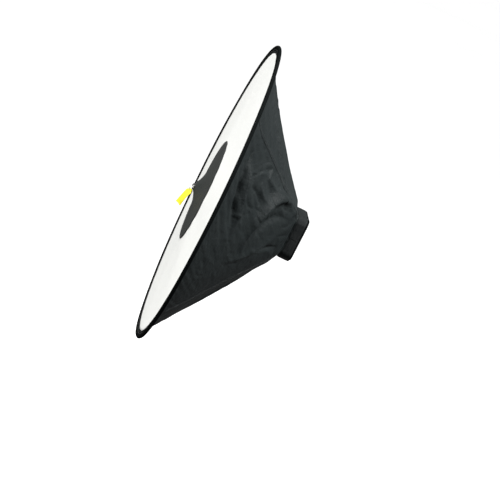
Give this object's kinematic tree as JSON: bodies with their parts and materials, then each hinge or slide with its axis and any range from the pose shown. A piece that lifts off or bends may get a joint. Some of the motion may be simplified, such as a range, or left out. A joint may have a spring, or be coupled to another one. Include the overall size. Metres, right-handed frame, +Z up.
{
  "type": "collapsible round flash softbox",
  "caption": "Round collapsible softbox for a small flash: sprung rim, white front with dark centre disc and pull tab, black fabric cone to a strapped rectangular neck.",
  "frame": {"origin": "centre of the neck's mouth, where the flash head goes in", "axes": "+Y out of the neck's mouth, the way the flash head leaves; the light leaves along -Y; +Z up, across the flash head's height; +X across its width"},
  "size_m": [0.4499, 0.1748, 0.45],
  "materials": {
    "nylon": "coated woven nylon, satin",
    "binding_tape": "folded grosgrain tape, matt",
    "silver_cloth": "metallised cloth, semi gloss",
    "seam_tape": "woven tape, matt",
    "diffuser_cloth": "fine white polyester, matt",
    "disc_cloth": "charcoal taffeta, satin",
    "spring_steel": "drawn spring wire",
    "brass": "crimped tube",
    "moulded_plastic": "fine moulded grain",
    "pin_steel": "turned",
    "sleeve_cloth": "knitted, matt",
    "grip_rubber": "ribbed silicone",
    "strap_webbing": "nylon webbing",
    "fibreglass": "drawn glass fibre rod",
    "magnet_plate": "nickel plate",
    "tab_string": "braided, pale",
    "tab_ribbon": "satin ribbon"
  },
  "bodies": {
    "dish": {"rim_hoop": "spring_steel", "hoop_ferrule": "brass", "rim_binding": "binding_tape", "gore_top": "nylon", "gore_bottom": "nylon", "gore_left": "nylon", "gore_right": "nylon", "silver_lining": "silver_cloth", "seam_tapes": "seam_tape", "front_diffuser": "diffuser_cloth", "centre_disc": "disc_cloth", "disc_reflector": "silver_cloth", "neck_frame": "moulded_plastic", "pivot_pins": "pin_steel", "neck_sleeve": "sleeve_cloth", "neck_hem": "binding_tape", "grip_pads": "grip_rubber", "cinch_strap": "strap_webbing", "strap_buckle": "moulded_plastic"},
    "hub": {"hub_core": "moulded_plastic", "hub_magnets": "magnet_plate", "hub_post": "moulded_plastic", "hub_cap": "moulded_plastic", "disc_washer": "moulded_plastic"},
    "tab": {"tab_loop": "tab_string", "pull_tab": "tab_ribbon"},
    "tail": {"strap_tail": "strap_webbing"},
    "upper_right_strut": {"upper_right_foot": "moulded_plastic", "upper_right_rod": "fibreglass", "upper_right_tip": "moulded_plastic", "upper_right_magnet": "magnet_plate"},
    "upper_left_strut": {"upper_left_foot": "moulded_plastic", "upper_left_rod": "fibreglass", "upper_left_tip": "moulded_plastic", "upper_left_magnet": "magnet_plate"},
    "lower_left_strut": {"lower_left_foot": "moulded_plastic", "lower_left_rod": "fibreglass", "lower_left_tip": "moulded_plastic", "lower_left_magnet": "magnet_plate"},
    "lower_right_strut": {"lower_right_foot": "moulded_plastic", "lower_right_rod": "fibreglass", "lower_right_tip": "moulded_plastic", "lower_right_magnet": "magnet_plate"}
  },
  "joints": [
    {"name": "hub_slide", "type": "slide", "parent": "dish", "child": "hub", "axis": [0, -1, 0], "range_m": [0, 0.006], "stiffness_N_per_m": 300, "deforming": ["front_diffuser", "centre_disc", "disc_reflector"]},
    {"name": "tab_swing", "type": "hinge", "parent": "hub", "child": "tab", "pos_m": [0, -0.16295, 0], "axis": [-1, 0, 0], "range_deg": [-8, 155]},
    {"name": "tail_peel", "type": "hinge", "parent": "dish", "child": "tail", "pos_m": [0.02, -0.0096, -0.03195], "axis": [0, -1, 0], "range_deg": [0, 105]},
    {"name": "upper_right_fold", "type": "hinge", "parent": "dish", "child": "upper_right_strut", "pos_m": [0.04045, -0.032, 0.02939], "axis": [-0.5878, 0, 0.809], "range_deg": [0, 74]},
    {"name": "upper_left_fold", "type": "hinge", "parent": "dish", "child": "upper_left_strut", "pos_m": [-0.04045, -0.032, 0.02939], "axis": [-0.5878, 0, -0.809], "range_deg": [0, 74]},
    {"name": "lower_left_fold", "type": "hinge", "parent": "dish", "child": "lower_left_strut", "pos_m": [-0.04045, -0.032, -0.02939], "axis": [0.5878, 0, -0.809], "range_deg": [0, 74]},
    {"name": "lower_right_fold", "type": "hinge", "parent": "dish", "child": "lower_right_strut", "pos_m": [0.04045, -0.032, -0.02939], "axis": [0.5878, 0, 0.809], "range_deg": [0, 74]}
  ]
}
